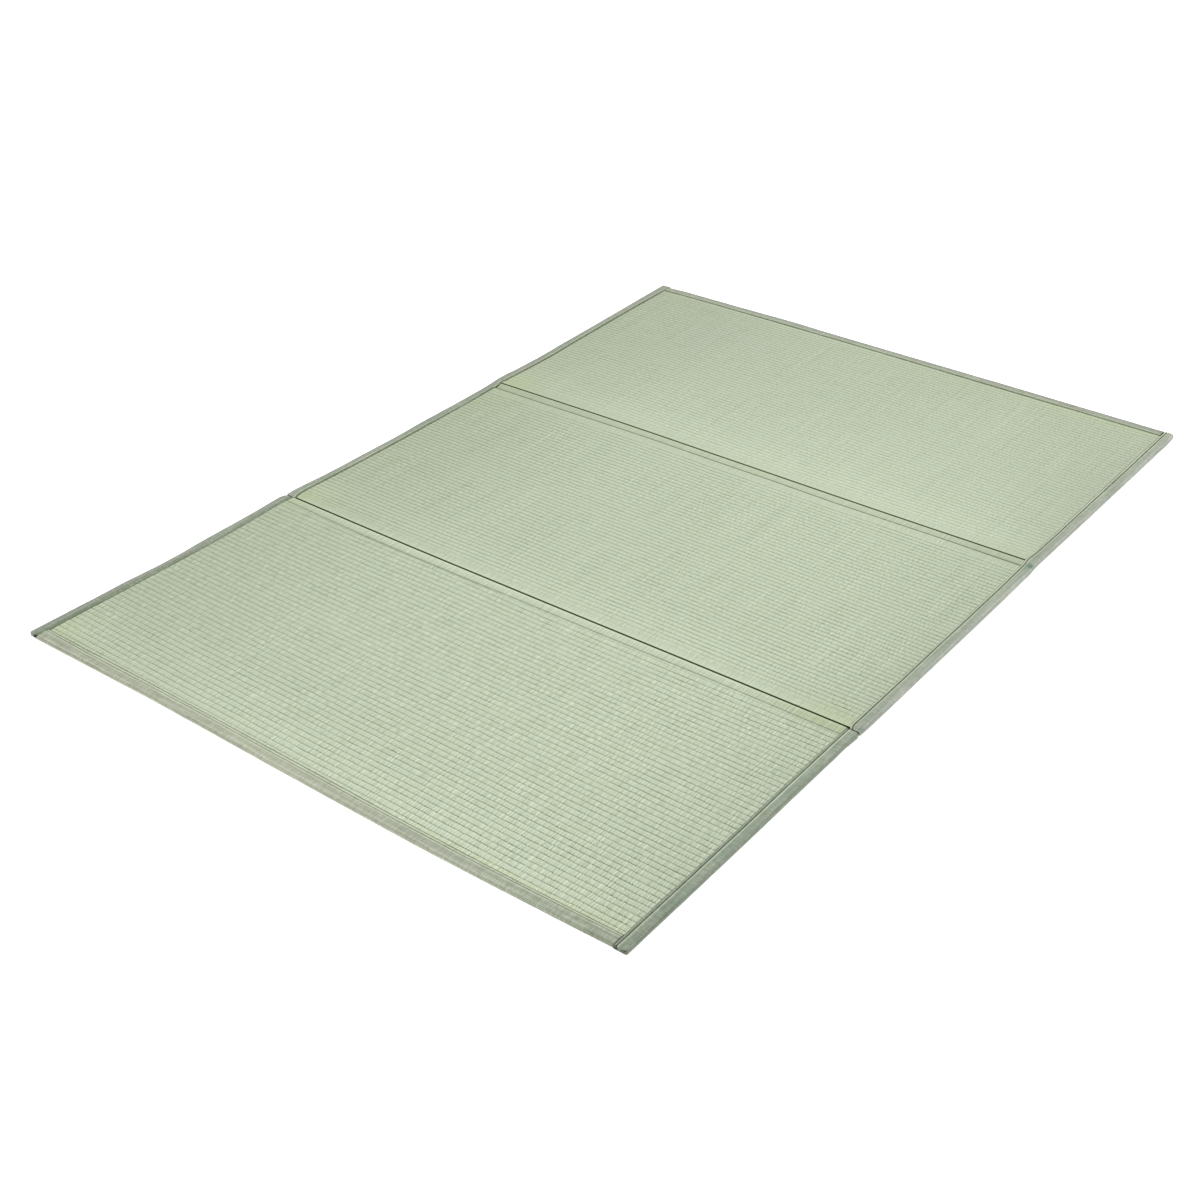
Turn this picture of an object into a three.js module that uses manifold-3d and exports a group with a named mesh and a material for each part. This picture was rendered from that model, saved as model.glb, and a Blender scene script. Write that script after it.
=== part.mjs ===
// Three-panel tatami mat laid flat: ribbed rush panels edged with folded cloth tape.
// Millimetres, +Z up. X runs across the mat, Y along it, and the origin is under its middle.

import * as THREE from 'three';
import Module from 'manifold-3d';

const wasm = await Module();
wasm.setup();

// Driving dimensions
const MAT_WIDTH = 1400;
const MAT_LENGTH = 2000;
const MAT_THICKNESS = 8;
const HINGE_ONE = -347;
const HINGE_TWO = 324;

// Rush panels
const RUSH_TOP = 7.7;
const RIB_DEPTH = 0.8;
const RIB_SHOULDER = 0.22;
const PLAIN_TOP = 7.3;
const SEAM_BEFORE_HINGE = 24.4;
const HALF_RIB = 4;
const STITCH_WIDTH = 2;
const STITCH_DEPTH = 0.9;
const SEAM_GROOVE = 1.8;
const PANEL_COLUMNS = 4;
const UNDERSIDE_STEPS = 14;

// Binding tape, folded round the panels' edges
const TAPE_THICKNESS = 1.2;
const TAPE_COVER = 24;
const TAPE_FOLD_RADIUS = 3;
const FOLD_STEPS = 3;
const TAPE_RUN_PAST = 1;
const TAPE_END_WALL = 2;
const TAPE_STATION = 60;
const TAPE_MOUTH = 3;
const CREASE_REACH = 7;
const CREASE_DEPTH = 0.8;
const PIECE_GAP = 0.3;
const TAPE_PARTING = -349.5;
const PARTING_GAP = 2;

// Levels and places worked out from the above
const HALF_WIDTH = MAT_WIDTH / 2;
const HALF_LENGTH = MAT_LENGTH / 2;
const RIM_INSET = TAPE_THICKNESS + PIECE_GAP;
const RIM_LOW = RIM_INSET;
const RIM_TOP = MAT_THICKNESS - RIM_INSET;
const RIM_STEP = TAPE_COVER + PIECE_GAP;
const RIM_SHORT = PARTING_GAP / 2 + TAPE_END_WALL + PIECE_GAP;
const RIM_EASE = 30;

// How the soft mat strays from a straight rectangle: shifts of its long edges in X
const EDGE_SWAY = [
  { at: -1000, left: -8, right: -1 },
  { at: -700, left: 2, right: 0 },
  { at: -520, left: 1, right: -1 },
  { at: -347, left: -0.5, right: 0 },
  { at: -180, left: 5.5, right: 1 },
  { at: 0, left: 8, right: 1 },
  { at: 324, left: 4, right: -1.5 },
  { at: 550, left: 4, right: -2 },
  { at: 1000, left: -9, right: -1 },
];

// Shifts in Y of the lines that cross the mat: its two ends and its two hinges
const LINE_SWAY = [
  { at: -700, near: 0, hingeOne: -5, hingeTwo: -8.2, far: 3 },
  { at: -350, near: 0, hingeOne: -5.6, hingeTwo: -1.4, far: 7 },
  { at: 0, near: -2.5, hingeOne: -2.5, hingeTwo: -1, far: 2 },
  { at: 350, near: -2, hingeOne: 2, hingeTwo: -1.2, far: -3 },
  { at: 700, near: 4, hingeOne: 5.6, hingeTwo: 2.2, far: -7 },
];

const CROSS_LINES = [
  { at: -HALF_LENGTH, column: 'near' },
  { at: HINGE_ONE, column: 'hingeOne' },
  { at: HINGE_TWO, column: 'hingeTwo' },
  { at: HALF_LENGTH, column: 'far' },
];

// Each panel's ribs run from its first valley to its last
const PANELS = [
  { name: 'panel_near', start: -HALF_LENGTH, end: HINGE_ONE, firstRib: -967.8, lastRib: -375.7, ribs: 47 },
  { name: 'panel_middle', start: HINGE_ONE, end: HINGE_TWO, firstRib: -327, lastRib: 284.6, ribs: 54 },
  { name: 'panel_far', start: HINGE_TWO, end: HALF_LENGTH, firstRib: 341.2, lastRib: 972.1, ribs: 55 },
];

const SIDE_END = HALF_LENGTH + TAPE_RUN_PAST;
const CROSS_END = HALF_WIDTH - RIM_STEP;

// crease: where a tape that runs on over a hinge is bent
const BINDINGS = [
  { name: 'binding_near', edge: 'near', from: -CROSS_END, to: CROSS_END, closed: false, crease: null },
  { name: 'binding_far', edge: 'far', from: -CROSS_END, to: CROSS_END, closed: false, crease: null },
];
for (const edge of ['left', 'right']) {
  BINDINGS.push({
    name: `binding_${edge}_near`,
    edge,
    from: -SIDE_END,
    to: TAPE_PARTING - PARTING_GAP / 2,
    closed: true,
    crease: null,
  });
  BINDINGS.push({
    name: `binding_${edge}_far`,
    edge,
    from: TAPE_PARTING + PARTING_GAP / 2,
    to: SIDE_END,
    closed: true,
    crease: HINGE_TWO,
  });
}

const RUSH = new THREE.MeshStandardMaterial({ color: 0xc3cdb0, roughness: 0.8, metalness: 0 });
const TAPE = new THREE.MeshStandardMaterial({ color: 0xa3ab96, roughness: 0.9, metalness: 0 });

// Smooth value of one table column, by a cubic through its rows
function columnAt(rows, column, at) {
  const last = rows.length - 2;
  const found = rows.findIndex((row, index) => index <= last && at < rows[index + 1].at);
  const index = found < 0 ? last : found;
  const low = rows[index];
  const high = rows[index + 1];
  const span = high.at - low.at;
  const slope = (row, nextRow) => (nextRow[column] - row[column]) / (nextRow.at - row.at);
  const lowSlope = slope(rows[Math.max(index - 1, 0)], high) * span;
  const highSlope = slope(low, rows[Math.min(index + 2, last + 1)]) * span;
  const t = THREE.MathUtils.clamp((at - low.at) / span, 0, 1);
  const rise = t * t * (3 - 2 * t);
  const ease = t * (1 - t);
  return low[column] * (1 - rise) + high[column] * rise + ease * ((1 - t) * lowSlope - t * highSlope);
}

// Moves a point of the straight mat to where it lies on the uneven one
function lay(x, y, z) {
  const after = CROSS_LINES.findIndex((line) => y < line.at);
  const next = THREE.MathUtils.clamp(after < 0 ? CROSS_LINES.length - 1 : after, 1, CROSS_LINES.length - 1);
  const low = CROSS_LINES[next - 1];
  const high = CROSS_LINES[next];
  const along = THREE.MathUtils.clamp((y - low.at) / (high.at - low.at), 0, 1);
  const shiftY = THREE.MathUtils.lerp(
    columnAt(LINE_SWAY, low.column, x),
    columnAt(LINE_SWAY, high.column, x),
    along,
  );
  const across = THREE.MathUtils.clamp((x + HALF_WIDTH) / MAT_WIDTH, 0, 1);
  const shiftX = THREE.MathUtils.lerp(
    columnAt(EDGE_SWAY, 'left', y),
    columnAt(EDGE_SWAY, 'right', y),
    across,
  );
  return new THREE.Vector3(x + shiftX, y + shiftY, z);
}

// A closed skin through rings of equal count, with triangles given for its two ends
function loft(rings, endTriangles) {
  const count = rings[0].length;
  const points = rings.flat();
  const faces = [];
  for (let ring = 0; ring + 1 < rings.length; ring += 1) {
    for (let index = 0; index < count; index += 1) {
      const a = ring * count + index;
      const b = ring * count + (index + 1) % count;
      faces.push([a, b, b + count], [a, b + count, a + count]);
    }
  }
  const lastRing = (rings.length - 1) * count;
  for (const [a, b, c] of endTriangles) {
    faces.push([c, b, a], [lastRing + a, lastRing + b, lastRing + c]);
  }
  return { points, faces: facingOut(points, faces) };
}

// Turns every face over where the skin encloses a negative volume
function facingOut(points, faces) {
  const cross = new THREE.Vector3();
  let volume = 0;
  for (const [a, b, c] of faces) {
    volume += cross.crossVectors(points[a], points[b]).dot(points[c]);
  }
  return volume < 0 ? faces.map(([a, b, c]) => [c, b, a]) : faces;
}

function toManifold({ points, faces }) {
  const vertProperties = new Float32Array(points.flatMap((point) => point.toArray()));
  const triVerts = new Uint32Array(faces.flat());
  return new wasm.Manifold(new wasm.Mesh({ numProp: 3, vertProperties, triVerts }));
}

function toMesh(name, vertices, triangles, material) {
  const geometry = new THREE.BufferGeometry();
  geometry.setAttribute('position', new THREE.Float32BufferAttribute(vertices, 3));
  geometry.setIndex(Array.from(triangles));
  geometry.computeVertexNormals();
  const mesh = new THREE.Mesh(geometry, material);
  mesh.name = name;
  return mesh;
}

// Upper and lower edge points of a panel's section where tape covers its end, from the outside in
function boundEnd(edge, inward) {
  return {
    upper: [
      new THREE.Vector2(edge + inward * RIM_INSET, RIM_TOP),
      new THREE.Vector2(edge + inward * RIM_STEP, RIM_TOP),
      new THREE.Vector2(edge + inward * (TAPE_COVER + SEAM_GROOVE), PLAIN_TOP),
    ],
    lower: [
      new THREE.Vector2(edge + inward * RIM_INSET, RIM_LOW),
      new THREE.Vector2(edge + inward * RIM_STEP, RIM_LOW),
      new THREE.Vector2(edge + inward * (TAPE_COVER + SEAM_GROOVE), 0),
    ],
  };
}

// The same where the panel ends at a hinge: a soft shoulder and a plain strip, with a seam across the strip
// that comes before the hinge
function hingeEnd(line, inward, ribsFrom) {
  const shoulder = [
    { depth: PIECE_GAP / 2, height: 3 },
    { depth: 0.7, height: 5.2 },
    { depth: 1.8, height: 6.6 },
    { depth: 4, height: PLAIN_TOP },
  ];
  if (inward < 0) {
    shoulder.push({ depth: SEAM_BEFORE_HINGE - STITCH_WIDTH / 2, height: PLAIN_TOP });
    shoulder.push({ depth: SEAM_BEFORE_HINGE, height: PLAIN_TOP - STITCH_DEPTH });
    shoulder.push({ depth: SEAM_BEFORE_HINGE + STITCH_WIDTH / 2, height: PLAIN_TOP });
  } else {
    shoulder.push({ depth: ribsFrom - line - HALF_RIB, height: PLAIN_TOP });
  }
  return {
    upper: shoulder.map(({ depth, height }) => new THREE.Vector2(line + inward * depth, height)),
    lower: [new THREE.Vector2(line + inward * PIECE_GAP / 2, 0)],
  };
}

// Crests with soft shoulders between the valleys where the warp strings pull the rush down
function ribs(from, to, count) {
  const pitch = (to - from) / count;
  const points = [];
  for (let rib = 0; rib < count; rib += 1) {
    points.push(new THREE.Vector2(from + rib * pitch, RUSH_TOP - RIB_DEPTH));
    points.push(new THREE.Vector2(from + (rib + RIB_SHOULDER) * pitch, RUSH_TOP));
    points.push(new THREE.Vector2(from + (rib + 1 - RIB_SHOULDER) * pitch, RUSH_TOP));
  }
  points.push(new THREE.Vector2(to, RUSH_TOP - RIB_DEPTH));
  return points;
}

function panelSection({ start, end, firstRib, lastRib, ribs: ribCount }) {
  const first = start === -HALF_LENGTH ? boundEnd(start, 1) : hingeEnd(start, 1, firstRib);
  const last = end === HALF_LENGTH ? boundEnd(end, -1) : hingeEnd(end, -1, lastRib);
  for (const [{ upper }, valley] of [[first, firstRib], [last, lastRib]]) {
    upper.push(new THREE.Vector2((upper.at(-1).x + valley) / 2, RUSH_TOP));
  }
  const underside = [];
  for (let step = 0; step <= UNDERSIDE_STEPS; step += 1) {
    underside.push(new THREE.Vector2(THREE.MathUtils.lerp(firstRib, lastRib, step / UNDERSIDE_STEPS), 0));
  }
  return {
    upper: [...first.upper, ...ribs(firstRib, lastRib, ribCount), ...last.upper.reverse()],
    lower: [...first.lower, ...underside, ...last.lower.reverse()],
  };
}

// Under the side tapes the panel thins to a rim, which stops short of the place where those tapes part
function rimPoint(point) {
  const side = Math.sign(point.x - HINGE_ONE);
  const depth = Math.abs(point.x - HINGE_ONE);
  const stop = TAPE_PARTING + side * RIM_SHORT;
  const eased = THREE.MathUtils.lerp(stop, HINGE_ONE + side * RIM_EASE, depth / RIM_EASE);
  const along = depth < RIM_EASE ? eased : point.x;
  return new THREE.Vector2(along, THREE.MathUtils.clamp(point.y, RIM_LOW, RIM_TOP));
}

// Triangles that close a section, walking its upper and lower points together
function sectionTriangles(upper, lower) {
  const triangles = [];
  let top = 0;
  let base = 0;
  const topIndex = (index) => lower.length + upper.length - 1 - index;
  while (top + 1 < upper.length || base + 1 < lower.length) {
    const baseDone = base + 1 >= lower.length;
    const topDone = top + 1 >= upper.length;
    const stepTop = baseDone || (!topDone && upper[top + 1].x < lower[base + 1].x);
    if (stepTop) {
      triangles.push([base, topIndex(top + 1), topIndex(top)]);
      top += 1;
    } else {
      triangles.push([base, base + 1, topIndex(top)]);
      base += 1;
    }
  }
  return triangles;
}

function panelMesh(panel) {
  const { upper, lower } = panelSection(panel);
  const section = [...lower, ...upper.slice().reverse()];
  const stepX = HALF_WIDTH - TAPE_COVER - SEAM_GROOVE;
  const columns = [{ x: RIM_INSET - HALF_WIDTH, rim: true }, { x: RIM_STEP - HALF_WIDTH, rim: true }];
  for (let column = 0; column <= PANEL_COLUMNS; column += 1) {
    columns.push({ x: stepX * (2 * column / PANEL_COLUMNS - 1), rim: false });
  }
  columns.push({ x: HALF_WIDTH - RIM_STEP, rim: true }, { x: HALF_WIDTH - RIM_INSET, rim: true });
  const rings = columns.map(({ x, rim }) => section.map((point) => {
    const placed = rim ? rimPoint(point) : point;
    return lay(x, placed.x, placed.y);
  }));
  const { points, faces } = loft(rings, sectionTriangles(upper, lower));
  return toMesh(panel.name, points.flatMap((point) => point.toArray()), faces.flat(), RUSH);
}

// A point of a tape: how far along its edge, how far in from the mat's outline, and how high
function onEdge(edge, along, inward, z) {
  const places = {
    left: [inward - HALF_WIDTH, along],
    right: [HALF_WIDTH - inward, along],
    near: [along, inward - HALF_LENGTH],
    far: [along, HALF_LENGTH - inward],
  };
  return lay(...places[edge], z);
}

// Outside of the folded tape: flat below and above, rounded where it turns over the edge
function tapeSection(inset) {
  const top = MAT_THICKNESS - inset / 2;
  const radius = TAPE_FOLD_RADIUS;
  const points = [{ inward: TAPE_COVER - inset, z: 0 }];
  for (const [centre, turn] of [[radius, -Math.PI / 2], [top - radius, -Math.PI]]) {
    for (let step = 0; step <= FOLD_STEPS; step += 1) {
      const angle = turn - step * Math.PI / 2 / FOLD_STEPS;
      points.push({
        inward: inset + radius + radius * Math.cos(angle),
        z: centre + radius * Math.sin(angle),
      });
    }
  }
  points.push({ inward: TAPE_COVER - inset, z: top });
  return points;
}

// Places along a tape, and how far its section draws in there: soft at closed ends and at a crease
function tapeStations({ from, to, closed, crease }) {
  const stations = [];
  const steps = Math.ceil((to - from) / TAPE_STATION);
  for (let step = 0; step <= steps; step += 1) {
    stations.push({ along: THREE.MathUtils.lerp(from, to, step / steps), inset: 0 });
  }
  if (closed) {
    stations[0].inset = TAPE_THICKNESS;
    stations[steps].inset = TAPE_THICKNESS;
    for (const { depth, inset } of [{ depth: 1, inset: 0.4 }, { depth: 3, inset: 0 }]) {
      stations.push({ along: from + depth, inset }, { along: to - depth, inset });
    }
  }
  if (crease !== null) {
    stations.push({ along: crease - CREASE_REACH, inset: 0 });
    stations.push({ along: crease, inset: CREASE_DEPTH });
    stations.push({ along: crease + CREASE_REACH, inset: 0 });
  }
  return stations.sort((a, b) => a.along - b.along);
}

// Room inside the tape for the panel's rim
function tapePocket({ edge, from, to, closed }) {
  const endRoom = closed ? -TAPE_END_WALL : TAPE_MOUTH;
  const corners = [
    { inward: TAPE_THICKNESS, z: TAPE_THICKNESS },
    { inward: TAPE_COVER + TAPE_MOUTH, z: TAPE_THICKNESS },
    { inward: TAPE_COVER + TAPE_MOUTH, z: MAT_THICKNESS - TAPE_THICKNESS },
    { inward: TAPE_THICKNESS, z: MAT_THICKNESS - TAPE_THICKNESS },
  ];
  const plainRun = { from: from - endRoom, to: to + endRoom, closed: false, crease: null };
  const rings = tapeStations(plainRun).map(({ along }) =>
    corners.map(({ inward, z }) => onEdge(edge, along, inward, z)));
  return loft(rings, [[0, 1, 2], [0, 2, 3]]);
}

function bindingMesh(binding) {
  const rings = tapeStations(binding).map(({ along, inset }) =>
    tapeSection(inset).map(({ inward, z }) => onEdge(binding.edge, along, inward, z)));
  const fan = [];
  for (let index = 1; index + 1 < rings[0].length; index += 1) {
    fan.push([0, index, index + 1]);
  }
  const folded = toManifold(loft(rings, fan)).subtract(toManifold(tapePocket(binding)));
  const { vertProperties, triVerts } = folded.getMesh();
  return toMesh(binding.name, vertProperties, triVerts, TAPE);
}

const mat = new THREE.Group();
for (const panel of PANELS) {
  mat.add(panelMesh(panel));
}
for (const binding of BINDINGS) {
  mat.add(bindingMesh(binding));
}

// The origin sits under the middle of the mat as it lies
const middle = new THREE.Box3().setFromObject(mat).getCenter(new THREE.Vector3());
mat.position.set(-middle.x, -middle.y, 0);

export default mat;
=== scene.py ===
import math

import bmesh
import bpy
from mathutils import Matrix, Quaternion, Vector, noise


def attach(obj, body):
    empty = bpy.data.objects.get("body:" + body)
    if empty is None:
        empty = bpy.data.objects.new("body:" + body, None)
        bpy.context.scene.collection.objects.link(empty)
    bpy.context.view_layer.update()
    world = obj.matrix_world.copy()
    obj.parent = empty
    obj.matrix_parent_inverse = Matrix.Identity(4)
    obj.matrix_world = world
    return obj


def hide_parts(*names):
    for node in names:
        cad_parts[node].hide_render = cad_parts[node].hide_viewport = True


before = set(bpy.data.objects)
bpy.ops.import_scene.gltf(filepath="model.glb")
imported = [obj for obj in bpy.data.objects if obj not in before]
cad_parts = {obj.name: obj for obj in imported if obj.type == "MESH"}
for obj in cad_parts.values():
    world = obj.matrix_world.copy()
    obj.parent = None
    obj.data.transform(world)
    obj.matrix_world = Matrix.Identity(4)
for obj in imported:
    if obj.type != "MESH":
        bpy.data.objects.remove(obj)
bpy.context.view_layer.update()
mm = 0.001

# the mat as it lies, in millimetres on a straight mat centred on zero
mat = {
    "width": 1400.0,
    "length": 2000.0,
    "thickness": 8.0,
    "hingeOne": -347.0,
    "hingeTwo": 324.0,
    "toFrame": (3.888, -2.095),  # from the straight mat's middle to the frame's origin
}

# how far the long edges stray in x: place along the mat, left edge, right edge
edgeSway = [
    (-1000, -8, -1), (-700, 2, 0), (-520, 1, -1), (-347, -0.5, 0), (-180, 5.5, 1),
    (0, 8, 1), (324, 4, -1.5), (550, 4, -2), (1000, -9, -1),
]

# how far the cross lines stray in y: place across, near end, hinge one, hinge two, far end
lineSway = [
    (-700, 0, -5, -8.2, 3), (-350, 0, -5.6, -1.4, 7), (0, -2.5, -2.5, -1, 2),
    (350, -2, 2, -1.2, -3), (700, 4, 5.6, 2.2, -7),
]
nearEnd, farEnd = -mat["length"] / 2, mat["length"] / 2
crossLines = [nearEnd, mat["hingeOne"], mat["hingeTwo"], farEnd]


def clamp(value, low, high):
    return max(low, min(high, value))


def mixed(a, b, share):
    return a + (b - a) * share


def eased(low, high, value):
    t = clamp((value - low) / (high - low), 0.0, 1.0)
    return t * t * (3 - 2 * t)


def swayAt(rows, column, at):  # a smooth curve through one column of a sway table
    last = len(rows) - 2
    index = last
    for k in range(last + 1):
        if at < rows[k + 1][0]:
            index = k
            break
    low, high = rows[index], rows[index + 1]
    before, after = rows[max(index - 1, 0)], rows[min(index + 2, last + 1)]
    span = high[0] - low[0]
    lowSlope = (high[column] - before[column]) / (high[0] - before[0]) * span
    highSlope = (after[column] - low[column]) / (after[0] - low[0]) * span
    t = clamp((at - low[0]) / span, 0.0, 1.0)
    rise = t * t * (3 - 2 * t)
    return mixed(low[column], high[column], rise) + t * (1 - t) * ((1 - t) * lowSlope - t * highSlope)


def lay(x, y, z):  # a point of the straight mat, put where it lies on the uneven one, in metres
    k = 1
    while k < len(crossLines) - 1 and y >= crossLines[k]:
        k += 1
    along = clamp((y - crossLines[k - 1]) / (crossLines[k] - crossLines[k - 1]), 0.0, 1.0)
    shiftY = mixed(swayAt(lineSway, k, x), swayAt(lineSway, k + 1, x), along)
    across = clamp(x / mat["width"] + 0.5, 0.0, 1.0)
    shiftX = mixed(swayAt(edgeSway, 1, y), swayAt(edgeSway, 2, y), across)
    return Vector((x + shiftX + mat["toFrame"][0], y + shiftY + mat["toFrame"][1], z)) * mm


def tableAt(rows, at):  # straight between the rows of a short table, level past its ends
    if at <= rows[0][0]:
        return rows[0][1]
    for low, high in zip(rows, rows[1:]):
        if at < high[0]:
            return mixed(low[1], high[1], (at - low[0]) / (high[0] - low[0]))
    return rows[-1][1]


def spotsAt(spots, x, y):  # soft marks: place across, place along, reach each way, strength
    total = 0.0
    for spotX, spotY, reachX, reachY, strength in spots:
        if abs(x - spotX) < 2.5 * reachX and abs(y - spotY) < 2.5 * reachY:
            total += strength * math.exp(-((x - spotX) / reachX) ** 2 - ((y - spotY) / reachY) ** 2)
    return total


def wander(x, y, scale, seed):  # soft unevenness from -1 to 1, scale in millimetres
    return noise.noise(Vector((x / scale, y / scale, seed)))


def stitchedDark(stitches, along, seed):  # how dark a stitched line is, from stitch to stitch
    varied = stitches["vary"] * wander(along, 0, stitches["length"], seed)
    return clamp(stitches["usual"] + varied, stitches["least"], 1.0)


def finishPiece(bm, name, material):
    mesh = bpy.data.meshes.new(name)
    bm.to_mesh(mesh)
    bm.free()
    for face in mesh.polygons:
        face.use_smooth = True
    mesh.materials.append(material)
    piece = bpy.data.objects.new(name, mesh)
    bpy.context.scene.collection.objects.link(piece)
    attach(piece, "root")
    return piece


# materials

def newMaterial(name):
    material = bpy.data.materials.new(name)
    material.use_nodes = True
    nodes = material.node_tree.nodes
    return material, nodes, material.node_tree.links, nodes["Principled BSDF"]


def mathNode(nodes, links, operation, first, *others):
    node = nodes.new("ShaderNodeMath")
    node.operation = operation
    for slot, value in enumerate((first, *others)):
        if isinstance(value, (int, float)):
            node.inputs[slot].default_value = value
        else:
            links.new(value, node.inputs[slot])
    return node.outputs[0]


def scaledNoise(nodes, links, vector, scale, detail=2.0, rough=0.5):
    mapping = nodes.new("ShaderNodeMapping")
    mapping.inputs["Scale"].default_value = scale
    links.new(vector, mapping.inputs["Vector"])
    texture = nodes.new("ShaderNodeTexNoise")
    texture.inputs["Scale"].default_value = 1.0
    texture.inputs["Detail"].default_value = detail
    texture.inputs["Roughness"].default_value = rough
    links.new(mapping.outputs["Vector"], texture.inputs["Vector"])
    return texture.outputs["Fac"]


def stepNoise(nodes, links, first, second, third=0.0):  # one chance value for each set of whole numbers
    texture = nodes.new("ShaderNodeTexWhiteNoise")
    texture.noise_dimensions = "3D"
    links.new(joinedNode(nodes, links, first, second, third), texture.inputs["Vector"])
    return texture.outputs["Value"]


def countedNode(nodes, links, place, perMillimetre, offset=0.0):  # which thread or stem a place falls on
    counted = mathNode(nodes, links, "MULTIPLY_ADD", place, perMillimetre, offset)
    return mathNode(nodes, links, "FLOOR", counted)


def tintedBy(nodes, links, colour, tint, amount):  # colour mixed towards a tint by an amount socket
    mix = nodes.new("ShaderNodeMix")
    mix.data_type = "RGBA"
    links.new(amount, mix.inputs["Factor"])
    if isinstance(colour, tuple):
        mix.inputs["A"].default_value = colour
    else:
        links.new(colour, mix.inputs["A"])
    mix.inputs["B"].default_value = tint
    return mix.outputs["Result"]


def ranged(nodes, links, value, low, high, toLow=0.0, toHigh=1.0):
    node = nodes.new("ShaderNodeMapRange")
    node.inputs["From Min"].default_value = low
    node.inputs["From Max"].default_value = high
    node.inputs["To Min"].default_value = toLow
    node.inputs["To Max"].default_value = toHigh
    links.new(value, node.inputs["Value"])
    return node.outputs["Result"]


def scaledBy(nodes, links, colour, amount):  # colour made lighter or darker by an amount socket
    node = nodes.new("ShaderNodeVectorMath")
    node.operation = "SCALE"
    links.new(colour, node.inputs[0])
    links.new(amount, node.inputs["Scale"])
    return node.outputs[0]


def joinedNode(nodes, links, first, second, third=0.0):  # three values as one place
    node = nodes.new("ShaderNodeCombineXYZ")
    for slot, value in enumerate((first, second, third)):
        if isinstance(value, (int, float)):
            node.inputs[slot].default_value = value
        else:
            links.new(value, node.inputs[slot])
    return node.outputs[0]


def partedNode(nodes, links, vector):
    node = nodes.new("ShaderNodeSeparateXYZ")
    links.new(vector, node.inputs[0])
    return node.outputs


def attributeNode(nodes, name):
    node = nodes.new("ShaderNodeAttribute")
    node.attribute_name = name
    return node


def raised(nodes, links, shader, height, strength, distance):  # small relief from a height socket
    bump = nodes.new("ShaderNodeBump")
    bump.inputs["Strength"].default_value = strength
    bump.inputs["Distance"].default_value = distance
    links.new(height, bump.inputs["Height"])
    links.new(bump.outputs["Normal"], shader.inputs["Normal"])


def shade(red, green, blue):  # a colour given as screen values from 0 to 255
    linear = []
    for value in (red, green, blue):
        v = value / 255
        linear.append(v / 12.92 if v <= 0.04045 else ((v + 0.055) / 1.055) ** 2.4)
    return (*linear, 1.0)


def besideNoise(nodes, links, first, second, third):  # a chance value that stands out from the one beside it
    own = stepNoise(nodes, links, first, second, third)
    other = stepNoise(nodes, links, mathNode(nodes, links, "ADD", first, 1.0), second, third)
    return mathNode(nodes, links, "MULTIPLY_ADD", mathNode(nodes, links, "SUBTRACT", own, other), 0.5, 0.5)


rushLook = {
    "base": shade(186, 196, 172),
    "straw": shade(186, 200, 148),
    "teal": shade(182, 200, 182),
    "light": shade(212, 221, 198),
    "dark": shade(142, 152, 124),
    # painted shade for the dark lines in the valleys between ribs
    "valley": shade(80, 92, 60),
    # painted shade for the gaps beside the tapes and at the hinges, also used for the seams' dashed lines
    "grooveShading": shade(24, 36, 6),
    "stemLight": 0.8,
    "stemDark": 0.4,
    "sharedStems": 0.6,  # how much of a stem's look comes back on every other rib
    "stemBend": 4.0,  # how far stems wander across, in millimetres
    "bendScale": (0.03, 0.012, 0.0),  # patterns to a millimetre, across and along
    "sheenStreakScale": (0.2, 0.003, 0.0),
    "tintScale": (0.03, 0.03, 0.0),
    "breakScale": (0.06, 0.02, 2.3),
    "sheenStreakDark": 0.15,
    "tealAmount": 0.35,
    "valleyCore": 0.015,  # half widths of a valley's painted shade line, as shares of the pitch
    "valleyReach": 0.1,
    "valleyJag": 0.06,
    "valleyStretch": 32.0,  # how far across a valley keeps one darkness, in millimetres
    "valleyUneven": (0.68, 1.2),
    "valleyAmount": 1.12,
    "roughness": 0.72,
    "sheen": 0.12,
    "bump": 0.4,
    "stemRise": 0.0004,
}


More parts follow.
